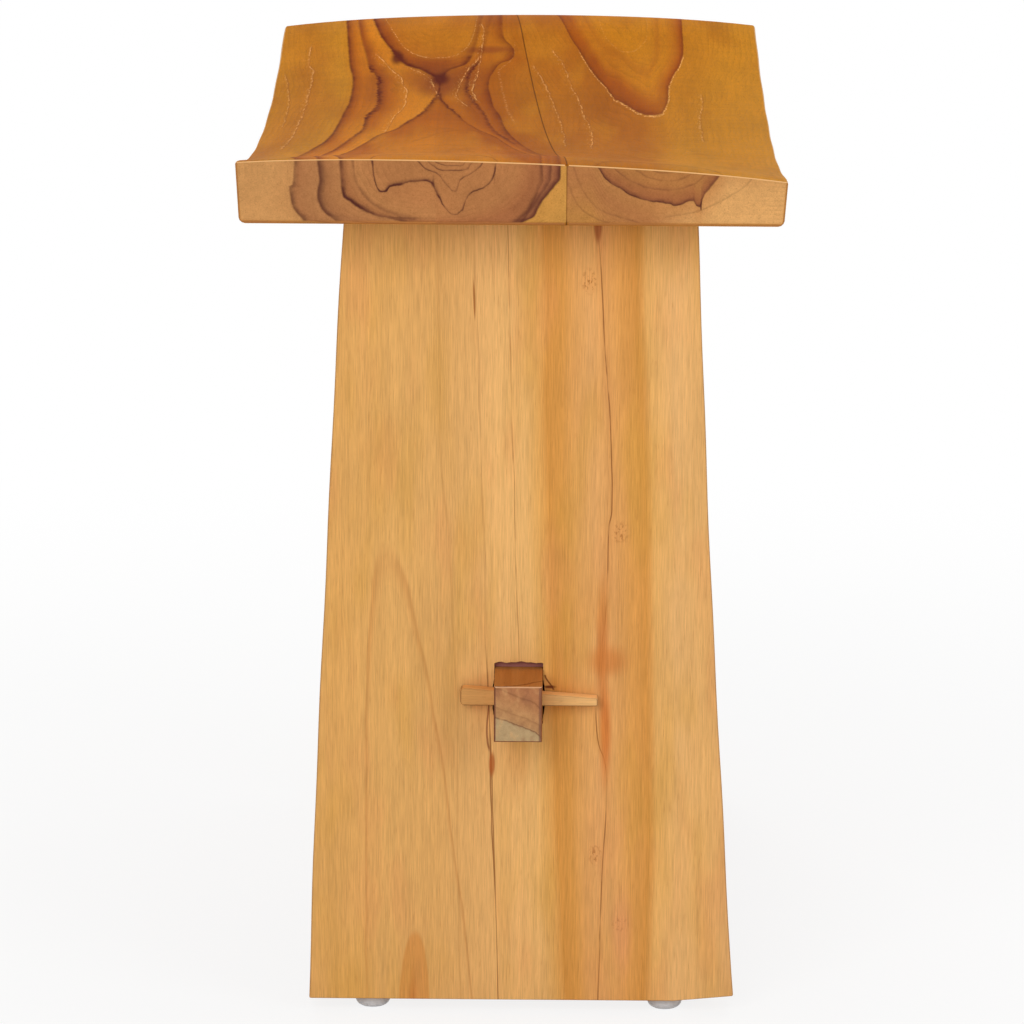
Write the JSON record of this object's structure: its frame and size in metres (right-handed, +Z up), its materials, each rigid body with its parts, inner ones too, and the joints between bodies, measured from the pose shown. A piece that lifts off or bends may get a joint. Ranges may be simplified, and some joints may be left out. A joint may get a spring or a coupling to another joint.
{
  "type": "teak shower bench",
  "caption": "Low wooden bench with a scooped saddle seat on tapered slab legs, joined by a rail whose through tenons are locked with loose wedges.",
  "frame": {"origin": "on the floor under the middle of the seat, which is the bottom centre of the bounding box", "axes": "+X across the seat to the right as seen from the front end, +Y along the seat from the front end to the back end, +Z up"},
  "size_m": [0.28, 0.508, 0.4667],
  "materials": {
    "seat_teak": "satin varnish over strongly figured golden-brown teak",
    "leg_teak": "satin varnish over straight-grained pale teak",
    "rail_teak": "satin varnish over brown heartwood, end grain on the tenons",
    "wedge_wood": "split pale wood, lightly finished",
    "dowel_wood": "plain turned hardwood, hidden",
    "glide_plastic": "pale grey moulded plastic",
    "nail_steel": "plain steel, hidden"
  },
  "bodies": {
    "frame": {"seat_board_left": "seat_teak", "seat_board_right": "seat_teak", "seat_dowels": "dowel_wood", "front_leg_left_stave": "leg_teak", "front_leg_right_stave": "leg_teak", "front_leg_dowels": "dowel_wood", "front_seat_dowels": "dowel_wood", "back_leg_left_stave": "leg_teak", "back_leg_right_stave": "leg_teak", "back_leg_dowels": "dowel_wood", "back_seat_dowels": "dowel_wood", "stretcher": "rail_teak", "front_left_glide": "glide_plastic", "front_right_glide": "glide_plastic", "back_left_glide": "glide_plastic", "back_right_glide": "glide_plastic", "glide_nails": "nail_steel"},
    "front_wedge": {"front_wedge": "wedge_wood"},
    "back_wedge": {"back_wedge": "wedge_wood"}
  },
  "joints": [
    {"name": "front_wedge_slide", "type": "slide", "parent": "frame", "child": "front_wedge", "axis": [-1, 0, 0], "range_m": [0, 0.058]},
    {"name": "back_wedge_slide", "type": "slide", "parent": "frame", "child": "back_wedge", "axis": [1, 0, 0], "range_m": [0, 0.058]}
  ]
}
